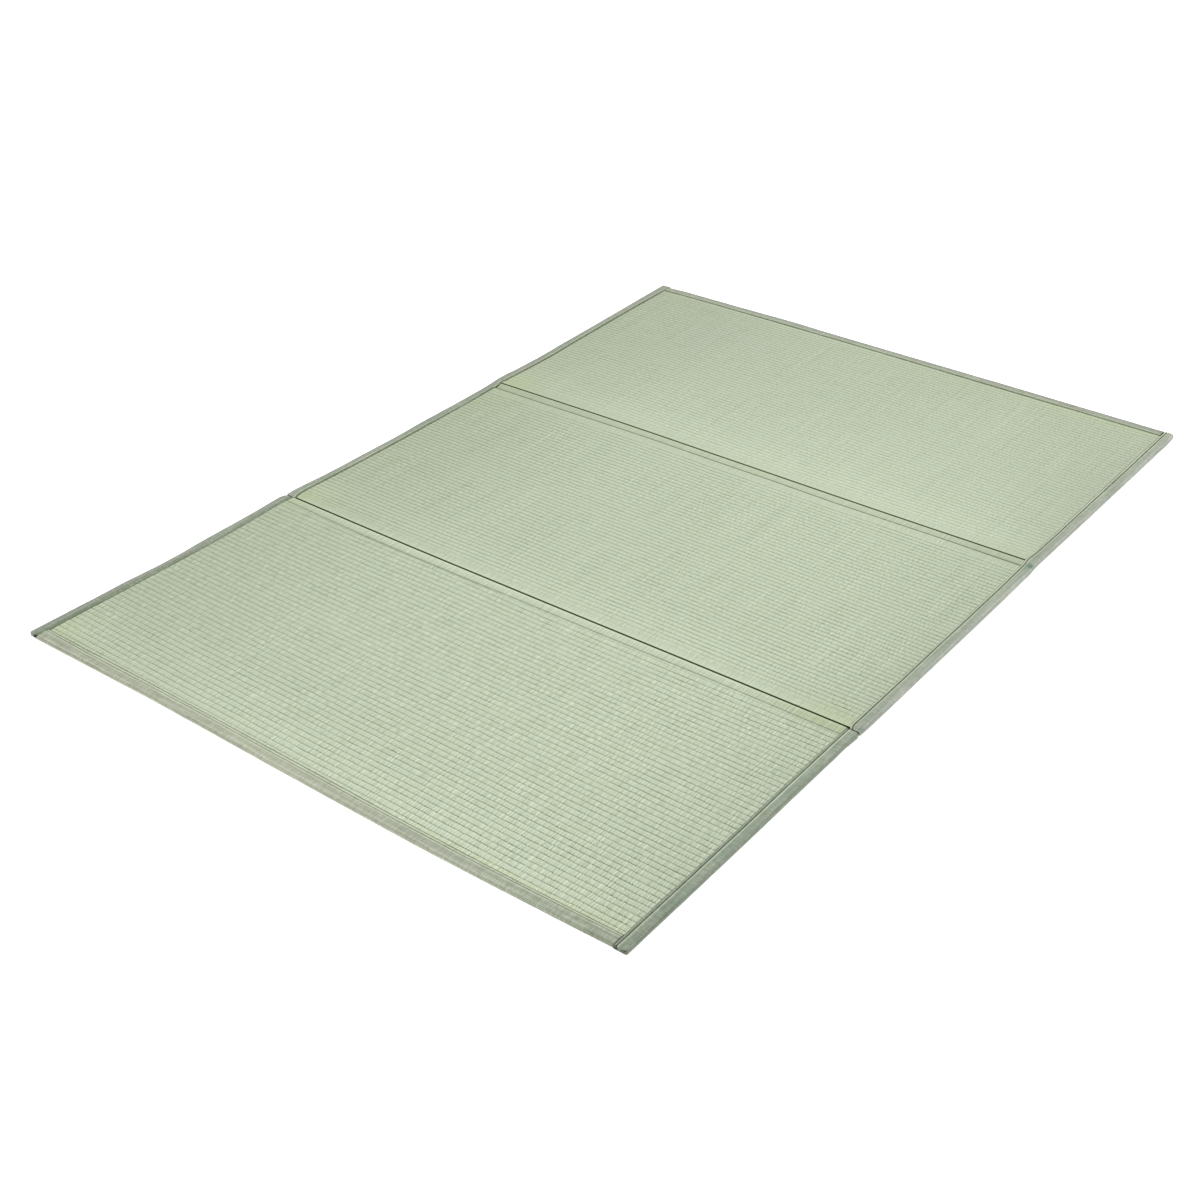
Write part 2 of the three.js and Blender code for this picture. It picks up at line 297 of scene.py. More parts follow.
def rushMaterial():
    material, nodes, links, shader = newMaterial("rush")
    weave = attributeNode(nodes, "weave").outputs["Vector"]  # millimetres across, along, and ribs counted
    ribbed, grooveShading, straw = partedNode(nodes, links, attributeNode(nodes, "marks").outputs["Vector"])
    # painted light: scales the rush darker where the light falls off towards the left, right and far edges
    light = attributeNode(nodes, "paintedLight").outputs["Fac"]
    stemLook = attributeNode(nodes, "stems").outputs["Vector"]
    stemContrast, stemRun, stemsAcross = partedNode(nodes, links, stemLook)
    across, along, ribs = partedNode(nodes, links, weave)
    # stems pass over one rib and under the next, so every other rib shows the same ones
    rib = mathNode(nodes, links, "FLOOR", ribs)
    overUnder = mathNode(nodes, links, "FLOORED_MODULO", rib, 2.0)
    bend = scaledNoise(nodes, links, weave, rushLook["bendScale"], 1.0)
    place = mathNode(nodes, links, "MULTIPLY_ADD", bend, rushLook["stemBend"], across)
    stem = countedNode(nodes, links, place, stemsAcross)
    stagger = stepNoise(nodes, links, stem, 7.0)
    run = countedNode(nodes, links, along, stemRun, stagger)
    sharedStems = besideNoise(nodes, links, stem, overUnder, run)
    singleStems = besideNoise(nodes, links, stem, rib, 5.5)
    shared = mathNode(nodes, links, "MULTIPLY", sharedStems, rushLook["sharedStems"])
    stems = mathNode(nodes, links, "MULTIPLY_ADD", singleStems, 1 - rushLook["sharedStems"], shared)
    fromMiddle = mathNode(nodes, links, "SUBTRACT", stems, 0.5)
    stems = mathNode(nodes, links, "MULTIPLY_ADD", fromMiddle, stemContrast, 0.5)
    sheenStreaks = scaledNoise(nodes, links, weave, rushLook["sheenStreakScale"], 3.0, 0.6)
    tints = scaledNoise(nodes, links, weave, rushLook["tintScale"], 2.0)
    broken = scaledNoise(nodes, links, weave, rushLook["breakScale"], 3.0, 0.65)
    colour = tintedBy(nodes, links, rushLook["base"], rushLook["teal"],
                      ranged(nodes, links, tints, 0.5, 0.75, 0.0, rushLook["tealAmount"]))
    colour = tintedBy(nodes, links, colour, rushLook["straw"], straw)
    colour = tintedBy(nodes, links, colour, rushLook["light"],
                      ranged(nodes, links, stems, 0.5, 1.0, 0.0, rushLook["stemLight"]))
    colour = tintedBy(nodes, links, colour, rushLook["dark"],
                      ranged(nodes, links, stems, 0.5, 0.0, 0.0, rushLook["stemDark"]))
    # painted sheen: broad lighter and darker streaks running along the stems
    colour = tintedBy(nodes, links, colour, rushLook["dark"],
                      ranged(nodes, links, sheenStreaks, 0.4, 0.2, 0.0, rushLook["sheenStreakDark"]))
    # painted shade: thin dark lines along the valleys between ribs, broken from stem to stem
    reach = rushLook["valleyJag"]
    jag = ranged(nodes, links, singleStems, 0.0, 1.0, 0.5 - reach, 0.5 + reach)
    turn = mathNode(nodes, links, "FRACT", mathNode(nodes, links, "ADD", ribs, jag))
    fromValley = mathNode(nodes, links, "ABSOLUTE", mathNode(nodes, links, "SUBTRACT", turn, 0.5))
    depth = ranged(nodes, links, fromValley, rushLook["valleyCore"], rushLook["valleyReach"], 1.0, 0.0)
    shifted = stepNoise(nodes, links, rib, 2.0)
    stretch = countedNode(nodes, links, across, 1 / rushLook["valleyStretch"], shifted)
    uneven = stepNoise(nodes, links, rib, stretch, 1.5)
    factors = [
        ranged(nodes, links, broken, 0.3, 0.6, 0.6, 1.0),
        ranged(nodes, links, stems, 1.0, 0.0, 0.6, 1.0),
        ranged(nodes, links, uneven, 0.0, 1.0, *rushLook["valleyUneven"]),
        ribbed,
        rushLook["valleyAmount"],
    ]
    for factor in factors:
        depth = mathNode(nodes, links, "MULTIPLY", depth, factor)
    colour = tintedBy(nodes, links, colour, rushLook["valley"], depth)
    # below zero, a painted highlight along the lips beside the hinges; above zero, painted shade in the gaps
    # beside the tapes and at the hinges, and the seams' dashed lines
    colour = tintedBy(nodes, links, colour, rushLook["light"], ranged(nodes, links, grooveShading, 0.0, -1.0))
    colour = tintedBy(nodes, links, colour, rushLook["grooveShading"], ranged(nodes, links, grooveShading, 0.0, 1.0))
    colour = scaledBy(nodes, links, colour, light)
    links.new(colour, shader.inputs["Base Color"])
    shader.inputs["Roughness"].default_value = rushLook["roughness"]
    shader.inputs["Specular IOR Level"].default_value = rushLook["sheen"]
    # each stem is round, and some stand higher than others
    side = mathNode(nodes, links, "PINGPONG", mathNode(nodes, links, "MULTIPLY", place, stemsAcross), 0.5)
    height = mathNode(nodes, links, "MULTIPLY_ADD", stems, 0.5, mathNode(nodes, links, "SQRT", side))
    raised(nodes, links, shader, height, rushLook["bump"], rushLook["stemRise"])
    return material


tapeLook = {
    # end and side tapes are the same cloth: the side colour is partly a painted shade of it, and greener
    "end": shade(171, 175, 155),
    "side": shade(148, 160, 142),
    "teal": shade(106, 132, 116),
    "grey": shade(160, 162, 157),
    "blue": shade(142, 160, 147),
    "olive": shade(126, 138, 111),
    "pale": shade(197, 204, 181),
    # painted shade for the hem past the stitching
    "hem": shade(96, 106, 78),
    # near-black: the stitched line, and painted shade for the shadow spots and the gaps where tapes meet
    "line": shade(22, 28, 14),
    "warpThreads": 0.8,  # threads to a millimetre, round the fold and along the tape
    "weftThreads": 0.7,
    "warpRun": 80.0,  # how far a thread keeps its lightness, in millimetres
    "weftRun": 9.0,
    "threadDark": 0.65,
    "threadPale": 0.7,
    "patchScale": (0.035, 0.07, 1.0),  # patterns to a millimetre, along and round the tape
    "stainScale": (0.02, 0.05, 1.7),
    "patchAmount": 0.4,
    "stainAmount": 0.35,
    "fadeAmount": 0.5,
    "roughness": 0.85,
    "sheen": 0.1,
    "bump": 0.4,
    "threadRise": 0.0003,
}


def tapeMaterial():
    material, nodes, links, shader = newMaterial("bindingTape")
    weave = attributeNode(nodes, "weave").outputs["Vector"]  # millimetres along and round the tape
    hem, line, ridgeHighlight = partedNode(nodes, links, attributeNode(nodes, "marks").outputs["Vector"])
    tint, grey, light = partedNode(nodes, links, attributeNode(nodes, "tones").outputs["Vector"])
    along, roundFold, seed = partedNode(nodes, links, weave)
    patches = scaledNoise(nodes, links, weave, tapeLook["patchScale"], 3.0, 0.6)
    stains = scaledNoise(nodes, links, weave, tapeLook["stainScale"], 3.0, 0.6)
    # threads along the tape and across it, each with its own lightness
    warp = countedNode(nodes, links, roundFold, tapeLook["warpThreads"])
    weft = countedNode(nodes, links, along, tapeLook["weftThreads"])
    warpStagger = stepNoise(nodes, links, warp, 3.0, seed)
    weftStagger = stepNoise(nodes, links, weft, 9.0, seed)
    warpRun = countedNode(nodes, links, along, 1 / tapeLook["warpRun"], warpStagger)
    weftRun = countedNode(nodes, links, roundFold, 1 / tapeLook["weftRun"], weftStagger)
    threads = mathNode(nodes, links, "ADD", stepNoise(nodes, links, warp, warpRun, seed),
                       stepNoise(nodes, links, weft, weftRun, seed))
    threads = mathNode(nodes, links, "MULTIPLY", threads, 0.5)
    # partly painted shade: the side tapes drawn darker and greener than the end tapes
    colour = tintedBy(nodes, links, tapeLook["end"], tapeLook["side"], tint)
    # partly painted light: the folded edge drawn greyer for the pale light bounced up from the floor
    colour = tintedBy(nodes, links, colour, tapeLook["grey"], grey)
    colour = tintedBy(nodes, links, colour, tapeLook["grey"],
                      ranged(nodes, links, patches, 0.5, 0.7, 0.0, tapeLook["patchAmount"]))
    colour = tintedBy(nodes, links, colour, tapeLook["olive"],
                      ranged(nodes, links, stains, 0.52, 0.72, 0.0, tapeLook["stainAmount"]))
    faded = ranged(nodes, links, stains, 0.48, 0.3, 0.0, tapeLook["fadeAmount"])
    faded = mathNode(nodes, links, "MULTIPLY", faded, tint)
    colour = tintedBy(nodes, links, colour, tapeLook["blue"], faded)
    colour = tintedBy(nodes, links, colour, tapeLook["teal"], ranged(nodes, links, tint, 1.0, 2.0))
    # painted shade on the hem past the stitching, and below zero painted light where the hem reads paler
    colour = tintedBy(nodes, links, colour, tapeLook["hem"], ranged(nodes, links, hem, 0.0, 1.0))
    colour = tintedBy(nodes, links, colour, tapeLook["pale"], ranged(nodes, links, hem, 0.0, -1.0))
    # painted highlight on the cloth beside the stitched line
    colour = tintedBy(nodes, links, colour, tapeLook["pale"], ridgeHighlight)
    colour = tintedBy(nodes, links, colour, tapeLook["olive"],
                      ranged(nodes, links, threads, 0.5, 0.0, 0.0, tapeLook["threadDark"]))
    colour = tintedBy(nodes, links, colour, tapeLook["pale"],
                      ranged(nodes, links, threads, 0.5, 1.0, 0.0, tapeLook["threadPale"]))
    colour = tintedBy(nodes, links, colour, tapeLook["line"], line)
    # painted light: the top and the folded edge drawn lighter or darker, and the same along each tape
    colour = scaledBy(nodes, links, colour, light)
    links.new(colour, shader.inputs["Base Color"])
    shader.inputs["Roughness"].default_value = tapeLook["roughness"]
    shader.inputs["Specular IOR Level"].default_value = tapeLook["sheen"]
    raised(nodes, links, shader, threads, tapeLook["bump"], tapeLook["threadRise"])
    return material


rush = rushMaterial()
tape = tapeMaterial()
print("materials ready")


# how each tape strays from a straight band, in millimetres by place along it: its folded edge outwards,
# its stitched line and its hem inwards
tapeStray = {
    "near": {
        "outer": [(-680, 4.5), (-640, 4.3), (-575, 3.4), (-450, 2.4), (-375, 1.2), (-100, 1), (300, 2.3),
                  (600, 0.6), (680, -0.1)],
        "stitch": [(-650, 0), (-550, -1.4), (-350, 0.2), (-200, 0.8), (100, 0), (250, -0.8), (400, -1),
                   (660, 1)],
        "hem": [(-550, -0.3), (-450, 0.4), (-200, 0.8), (-50, 1.2), (100, 0.8), (250, -0.7), (500, -1),
                (650, 0.4)],
    },
    "far": {
        "outer": [(-670, -1), (-625, 1.4), (-450, -0.5), (-280, 1.5), (-200, -0.2), (300, 1), (450, 0),
                  (640, -1.3)],
        "hem": [(-650, -0.7), (-550, -0.5), (-400, 0.8), (-200, 0.8), (-50, -0.4), (250, 0.5), (500, 1),
                (650, 2.2)],
    },
    "leftNear": {
        "outer": [(-1000, 0), (-850, 0.4), (-780, 1.5), (-700, -2), (-640, -2.4), (-600, -0.6), (-440, -1.2),
                  (-366, 1.2), (-350, -1.9)],
        "stitch": [(-1000, -1.5), (-860, -3.5), (-780, -5), (-700, -3), (-650, -2), (-610, 1.5), (-540, 2),
                   (-460, -0.5), (-380, -2.5), (-356, -3)],
        "hem": [(-1000, 3.5), (-940, 1.8), (-820, 0.8), (-740, 0), (-660, 0.5), (-560, 2.7), (-460, 1),
                (-380, -1.8), (-356, 0)],
    },
    "leftFar": {
        "outer": [(-347, -1.9), (-322, 0), (-240, -2.2), (-130, -1.1), (0, -1.5), (65, 0), (200, -2.7),
                  (275, -2.8), (310, -1.3), (340, 1.7), (375, 1), (400, -0.9), (490, -1.8), (560, 0.2),
                  (1000, -0.6)],
        "hem": [(-348, 8), (-343, 6.5), (-336, 3.5), (-322, 1), (-300, 0.3), (50, 0.6), (100, 1.5),
                (200, 3.2), (260, 2), (296, 1), (298, 5), (313, 2.2), (324, -1.5), (337, -4.2), (338.5, 0),
                (350, -1.2), (390, 0), (500, 1.8), (580, -0.8), (740, -0.8), (860, 0.5), (980, 2.8)],
    },
    "rightNear": {
        "outer": [(-1000, 1.7), (-680, 1.5), (-520, 2.1), (-430, 1.7), (-395, 0.9), (-374, 2.3), (-350, 2.7)],
        "stitch": [(-1000, -1.3), (-750, -0.9), (-550, -1.2), (-400, -0.4)],
        "hem": [(0, -1.2)],
    },
    "rightFar": {
        "outer": [(-347, 2.7), (-320, 3.2), (-190, 2.3), (-70, 1.8), (170, 3.1), (290, 3), (312, 1),
                  (335, 0.8), (400, 1.8), (550, 2.6), (950, 2.9), (1000, 1)],
        "stitch": [(-349.5, -6.2), (-345, -4.2), (-341, -2.5), (-335, -1.4), (-200, -0.8), (-50, 0.3),
                   (100, -1.3), (200, -2), (290, -1.6), (312, -0.5), (332, 2), (345, 0.6), (360, -0.6),
                   (450, -2.3), (750, -3.2), (950, -2.6)],
        "hem": [(-349.5, -5.5), (-346, -5), (-339, -3.5), (-332, -1.7), (300, -1.7), (318, 0.2), (330, 1.2),
                (342, 0), (360, -1.6), (450, -2.3)],
    },
}
for band in ("far", "leftFar"):  # stitched level with the hem
    tapeStray[band]["stitch"] = tapeStray[band]["hem"]


# rush panels

rushPanel = {
    "crest": 7.75,
    "ribDepth": 1.15,
    "ribSteps": [(0.0, 1.0), (0.05, 0.65), (0.11, 0.4), (0.22, 0.2), (0.37, 0.06), (0.5, 0.0), (0.68, 0.04),
                 (0.82, 0.17), (0.93, 0.5)],  # share of the pitch past a valley, share of the depth there
    "plain": 7.55,
    "plainRise": (0.1, 0.08),  # past a hinge, and before a seam
    "columns": 168,
    "openFrom": 2.0,  # from the pressed edge to the first column of open rush
    "faintRibs": (-1.0, 2.5),  # ribs past a hinge over which they gain their depth, from the faintest
    "faintest": 0.3,
    "swayBlend": (0.3, 0.7),  # shares of the panel
    "swayStart": 0.08,
    "broadWander": (0.7, 75.0),  # how far the ribs stray along the mat, and over what distance
    "fineWander": (0.8, 18.0),
    "unevenScale": 26.0,
    "ribUneven": 0.1,
    "plainUneven": 0.08,
    "unevenFrom": 7.0,
    "stitches": {"usual": 0.9, "vary": 0.6, "length": 11.0, "least": 0.45},
    # the edge is pressed down beside the tape and goes on under it: distance in, height, how dark the painted
    # shade in the gap beside the tape is
    "edgeSteps": [(2.0, 4.4, 1.0), (22.2, 5.0, 1.0), (23.0, 5.8, 1.0), (23.6, 6.6, 0.8), (24.1, 7.2, 0.25),
                  (24.8, 7.5, 0.0), (25.8, 7.6, 0.0)],
    "endShadow": 1.2,  # how much further in that painted shadow line goes beside the end tapes
    "rightShadow": 0.5,  # and beside the right tapes
    "followHem": (70.0, 26.0),  # in from the side, where rush begins to follow the tape's hem, and fully does
    "rimEdge": 3.0,  # further out, the rim goes with the tape's fold
    "tapeParting": -349.5,  # where two side tapes meet, and the rim under them stops short
    "partingStop": 7.0,
    "partingReach": (3.0, 12.0),
    "rimLow": 1.3,
    "rimSlack": 0.05,
    "underside": 0.1,
    "undersideSteps": 14,
}

# each panel's ribs run from its first valley to its last, and a plain strip with a stitched seam comes before
# a hinge; ribAcross: how much darker the painted valley shade is to the right; stems: contrast, one over a
# stem's run, stems to a millimetre; paintedLight: painted light falloff, the rush drawn lighter or darker by
# place along
panels = [
    {"name": "panelNear", "node": "panel_near", "start": nearEnd, "end": mat["hingeOne"],
     "leftTape": "leftNear", "rightTape": "rightNear",
     "first": -967.8, "last": -375.7, "ribs": 47, "ribStrength": 0.84, "ribAcross": 0.2,
     "stems": (2.0, 1 / 60, 0.56),
     "seam": 24.0, "seamMark": 0.7, "seamWidth": 1.3,
     "seamSway": [(-650, 3.8), (-550, 1), (-450, -0.6), (-200, -0.8), (-50, 0.5), (250, 0), (400, 1),
                  (600, -0.5)],
     "paintedLight": [(-980, 1.05), (-890, 1.008), (-810, 0.992), (-650, 1), (-385, 1), (-365, 0.985)],
     "sway": [(-650, 0.7, -2, 1), (-380, -1.9, -3.2, 2.1), (-200, -0.5, -2.5, 3.9), (0, -0.2, -0.8, -0.7),
              (200, 2.6, 1, -2.6), (400, 1.3, 0.5, -3.2), (650, 0.1, -1.1, -1)]},
    {"name": "panelMiddle", "node": "panel_middle", "start": mat["hingeOne"], "end": mat["hingeTwo"],
     "leftTape": "leftFar", "rightTape": "rightFar",
     "first": -327.0, "last": 284.6, "ribs": 54, "ribStrength": 0.9, "ribAcross": 0.15,
     "stems": (1.45, 1 / 280, 0.56),
     "seam": 24.8, "seamMark": 1.0, "seamWidth": 1.6,
     "seamSway": [(-650, -2), (-500, -2.7), (-350, -1), (-200, 0.8), (-50, 0), (100, 0.8), (250, -1),
                  (500, 2), (655, 0.6)],
     "paintedLight": [(-347, 0.985), (-330, 0.985), (-295, 1.035), (-215, 1), (285, 1.01), (304, 0.905)],
     "sway": [(-650, -6.4, -8.8, -5), (-380, -3.8, -7.3, -4.1), (-200, -0.1, -4.3, 0.2), (0, 0.3, -1, -1),
              (200, 2.1, 0.5, -1.6), (400, -0.1, -0.1, -0.9), (650, 0.6, -1.8, -0.8)]},
    {"name": "panelFar", "node": "panel_far", "start": mat["hingeTwo"], "end": farEnd,
     "leftTape": "leftFar", "rightTape": "rightFar",
     "first": 341.2, "last": 972.1, "ribs": 55, "ribStrength": 0.73, "ribAcross": -0.05,
     "stems": (1.0, 1 / 320, 0.52),
     "paintedLight": [(324, 1.0), (341, 1.0), (358, 1.06), (372, 1.065), (450, 1.018), (560, 0.987), (680, 0.96),
              (800, 0.948), (920, 0.933)],
     "sway": [(-650, 0.4, -0.5, 0.7), (-380, 2.9, 1, -0.4), (-200, 2.4, -0.5, -1), (0, 0.1, 1.4, 0.4),
              (200, -1.8, 1, -0.1), (400, 0.1, 0.3, -1.3), (650, -0.9, -3.6, -4)]},
]

# painted light falloff: how light the rush is drawn across the mat, darker towards the left and right edges,
# and marks where it is lighter or darker, or has kept more yellow
paintedFalloff = [(-690, 0.83), (-500, 0.887), (-300, 0.956), (-60, 0.99), (180, 1.012), (340, 1.024), (480, 1.006),
            (580, 0.972), (690, 0.905)]
toneMarks = [(620, -358, 120, 11, -0.14), (300, -357, 250, 12, -0.03), (-380, -357, 330, 12, 0.045),
             (600, 312, 100, 12, -0.05), (-560, 100, 200, 250, -0.03), (-640, 900, 110, 200, 0.045),
             (650, 930, 60, 110, 0.05), (280, 930, 220, 80, -0.025), (-650, -920, 80, 80, 0.06),
             (-660, -300, 50, 40, 0.045), (620, -300, 130, 40, -0.04), (635, 300, 60, 3, -0.22),
             (-380, 968, 330, 9, 0.05)]
strawMarks = [(-690, 0, 170, 1500, 0.13), (0, 1000, 1500, 70, 0.16), (0, 312, 900, 13, 0.18),
              (-668, -965, 60, 40, 0.35), (640, -965, 60, 25, 0.15), (-660, -330, 70, 45, 0.4),
              (-660, 345, 60, 40, 0.35), (-640, 250, 80, 60, 0.15), (630, -358, 110, 14, 0.5),
              (650, -325, 70, 30, 0.35), (650, 315, 60, 25, 0.2), (560, 966, 150, 20, 0.25),
              (0, -347, 1500, 5, 0.5), (0, 324, 1500, 5, 0.4),
              (450, -972, 260, 3, 0.5), (-560, -971, 130, 4, 0.25)]

# beside a hinge: distance from its line, height, how dark the painted shade in the gap is (below zero for a
# painted highlight along the lip)
highlightAtTwo = 0.3  # the second hinge's painted highlight beside its line is weaker
hingeSteps = [(0.15, 0.6, 1.0), (0.25, 3.0, 1.0), (0.6, 5.2, 1.0), (1.1, 6.5, 1.0), (1.6, 7.1, 0.95),
              (2.3, 7.45, 0.15), (3.6, 7.55, -0.25), (5.5, 7.6, -0.4), (8.0, 7.62, -0.15)]
# across a seam, in seam widths from its line: distance, height above the plain strip, share of its mark
seamSteps = [(-1.0, 0.0, 0.0), (-0.4, -0.8, 1.0), (0.4, -0.8, 1.0), (1.0, 0.1, 0.0)]


def boundRows(edge, tape, inward, firstRib, rib):  # rows where tape covers a panel's end, from the outside in
    rows = []
    for distance, z, dark in rushPanel["edgeSteps"]:
        follow = 1.0 if distance > rushPanel["rimEdge"] else 0.0
        distance += follow * rushPanel["endShadow"]
        rows.append({"y": edge + inward * distance, "z": z, "grooveShading": dark, "follow": follow})
    inner = rows[-1]["y"]
    for share in (0.35, 0.7):
        y = mixed(inner, firstRib, share)
        rows.append({"y": y, "z": rushPanel["crest"], "grooveShading": 0.0, "follow": 1 - share})
    for row in rows:
        row.update({"tape": tape, "inward": inward, "plainRib": rib})
    return rows


def hingeRows(line, inward, firstRib, panel, rib):
    top = rushPanel["plain"]
    pastHinge, beforeSeam = rushPanel["plainRise"]
    rows = []
    for distance, z, dark in hingeSteps:
        if line == mat["hingeTwo"] and dark < 0:
            dark *= highlightAtTwo
        rows.append({"y": line + inward * distance, "z": z, "grooveShading": dark})
    reach, start = abs(firstRib - line), hingeSteps[-1][0]
    if inward > 0:
        for k in range(1, 4):
            rows.append({"y": line + mixed(start, reach, k / 4), "z": top + pastHinge, "grooveShading": 0.0})
    else:
        seam, width, mark = panel["seam"], panel["seamWidth"], panel["seamMark"]
        for k in range(1, 4):
            y = line - mixed(start, seam - width, k / 4)
            rows.append({"y": y, "z": top + beforeSeam, "grooveShading": 0.0, "seam": k / 4})
        for distance, rise, dark in seamSteps:
            y = line - seam - width * distance
            rows.append({"y": y, "z": top + rise, "grooveShading": dark * mark, "seam": 1.0, "dashed": dark > 0})
        for k in range(1, 3):
            y = line - mixed(seam + width, reach, k / 3)
            rows.append({"y": y, "z": rushPanel["crest"], "grooveShading": 0.0, "seam": 1 - k / 3})
    for row in rows:
        row["plainRib"] = rib
    return rows


def ribRows(panel):
    pitch = (panel["last"] - panel["first"]) / panel["ribs"]
    rows = []
    for rib in range(panel["ribs"]):
        for turn, depth in rushPanel["ribSteps"]:
            rows.append({"y": panel["first"] + (rib + turn) * pitch, "rib": rib + turn, "depth": depth})
    rows.append({"y": panel["last"], "rib": float(panel["ribs"]), "depth": 1.0})
    fromHinge = panel["start"] != nearEnd
    for row in rows:
        strength = eased(*rushPanel["faintRibs"], row["rib"]) if fromHinge else 1.0
        row["depth"] *= mixed(rushPanel["faintest"], 1.0, strength) * panel["ribStrength"]
        row["strength"] = strength * panel["ribStrength"]
        row.update({"z": rushPanel["crest"] - rushPanel["ribDepth"] * row["depth"], "grooveShading": 0.0})
    return rows


def panelRows(panel):
    pastLast = panel["ribs"] + 0.5
    if panel["start"] == nearEnd:
        first = boundRows(panel["start"], "near", 1, panel["first"], -0.5)
    else:
        first = hingeRows(panel["start"], 1, panel["first"], panel, -0.5)
    if panel["end"] == farEnd:
        last = boundRows(panel["end"], "far", -1, panel["last"], pastLast)
    else:
        last = hingeRows(panel["end"], -1, panel["last"], panel, pastLast)
    upper = first + ribRows(panel) + last[::-1]
    lower = []
    steps = rushPanel["undersideSteps"]
    for k in range(steps + 1):
        y = mixed(upper[-1]["y"], upper[0]["y"], k / steps)
        lower.append({"y": y, "z": rushPanel["underside"], "grooveShading": 0.0, "plainRib": -0.5})
    return upper + lower + [dict(upper[0])]


def panelColumns():
    half = mat["width"] / 2
    left = [{"x": distance - half, "top": z, "shadow": dark} for distance, z, dark in rushPanel["edgeSteps"]]
    right = [dict(column, x=-column["x"]) for column in left[::-1]]
    for column in right[:-1]:
        column["x"] -= rushPanel["rightShadow"]
    inner = right[0]["x"] - rushPanel["openFrom"]
    middle = []
    for k in range(rushPanel["columns"] + 1):
        middle.append({"x": mixed(-inner, inner, k / rushPanel["columns"])})
    return left + middle + right


def ribShift(panel, x, y):  # the woven ribs stray a little from the cut edges
    share = clamp((y - panel["start"]) / (panel["end"] - panel["start"]), 0.0, 1.0)
    start, middle, end = (swayAt(panel["sway"], k, x) for k in (1, 2, 3))
    first, second = mixed(start, middle, share * 2), mixed(middle, end, share * 2 - 1)
    bend = mixed(first, second, eased(*rushPanel["swayBlend"], share))
    return bend * eased(0.0, rushPanel["swayStart"], min(share, 1 - share))


def makePanel(panel, seed):
    rows, columns = panelRows(panel), panelColumns()
    half = mat["width"] / 2
    (broad, broadReach), (fine, fineReach) = rushPanel["broadWander"], rushPanel["fineWander"]
    followFrom, followFull = (half - inward for inward in rushPanel["followHem"])
    bm = bmesh.new()
    bmesh.ops.create_grid(bm, x_segments=len(columns) - 1, y_segments=len(rows) - 1, size=1.0)
    weave = bm.verts.layers.float_vector.new("weave")
    marks = bm.verts.layers.float_vector.new("marks")
    paintedLight = bm.verts.layers.float.new("paintedLight")
    stems = bm.verts.layers.float_vector.new("stems")
    for vert in bm.verts:
        column = columns[round((vert.co.x + 1) / 2 * (len(columns) - 1))]
        row = rows[round((vert.co.y + 1) / 2 * (len(rows) - 1))]
        x, y, z = column["x"], row["y"], row["z"]
        onTop = z > rushPanel["rimLow"]
        grooveShading = row["grooveShading"]
        if onTop:
            uneven = wander(x, y * 3, rushPanel["unevenScale"], seed)
            if "rib" in row:
                stray = broad * wander(x, y * 2, broadReach, seed + 4)
                stray += fine * wander(x, y * 3, fineReach, seed + 6)
                y += ribShift(panel, x, y) + stray
                z += rushPanel["ribUneven"] * uneven * (1 + 2 * row["depth"])
            elif z > rushPanel["unevenFrom"]:
                z += rushPanel["plainUneven"] * uneven
            if "seam" in row:
                y += row["seam"] * tableAt(panel["seamSway"], x)
            if row.get("dashed"):
                grooveShading *= stitchedDark(rushPanel["stitches"], x, seed + 2)
            if "tape" in row:
                endTape = tapeStray[row["tape"]]
                outer, hem = -tableAt(endTape["outer"], x), tableAt(endTape["hem"], x)
                y += row["inward"] * mixed(outer, hem, row["follow"])
            if "top" in column:
                z = min(z, column["top"])
                # painted shade in the gap beside the side tapes
                grooveShading = max(grooveShading, column["shadow"])
        elif "top" in column:
            z = max(z, rushPanel["rimLow"])
        side, sideTape = (1, panel["rightTape"]) if x > 0 else (-1, panel["leftTape"])
        if abs(x) < half - rushPanel["rimEdge"]:
            x -= side * tableAt(tapeStray[sideTape]["hem"], y) * eased(followFrom, followFull, abs(x))
        else:
            fromParting = eased(*rushPanel["partingReach"], abs(y - rushPanel["tapeParting"]))
            stop = rushPanel["partingStop"] * (1 - fromParting)
            x += side * (tableAt(tapeStray[sideTape]["outer"], y) - stop)
        vert[weave] = (x, y, row.get("rib", row.get("plainRib")))
        ribbed = row.get("strength", 0.0) * (1 + panel["ribAcross"] * x / half)
        vert[marks] = (ribbed, grooveShading if onTop else 0.0, spotsAt(strawMarks, x, y))
        # painted light falloff across and along the mat, with marks drawn lighter or darker
        vert[paintedLight] = tableAt(paintedFalloff, x) * tableAt(panel["paintedLight"], y) * (1 + spotsAt(toneMarks, x, y))
        vert[stems] = panel["stems"]
        vert.co = lay(x, y, z)
    bmesh.ops.remove_doubles(bm, verts=bm.verts, dist=1e-6)
    parting = (rushPanel["rimLow"] + rushPanel["rimSlack"]) * mm
    for hand in (-1, 1):  # close each rim under the side tapes, from its upper line to its lower one
        rim = []
        for edge in bm.edges:
            one, other = (vert.co for vert in edge.verts)
            if edge.is_boundary and one.x * hand > 0 and (one.z > parting) == (other.z > parting):
                rim.append(edge)
        bmesh.ops.bridge_loops(bm, edges=rim)
    bmesh.ops.recalc_face_normals(bm, faces=bm.faces)
    piece = finishPiece(bm, panel["name"], rush)
    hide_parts(panel["node"])
    return piece


panelPieces = [makePanel(panel, 3.0 + 20 * k) for k, panel in enumerate(panels)]
print("rush panels made:", [len(piece.data.polygons) for piece in panelPieces])


# binding tape

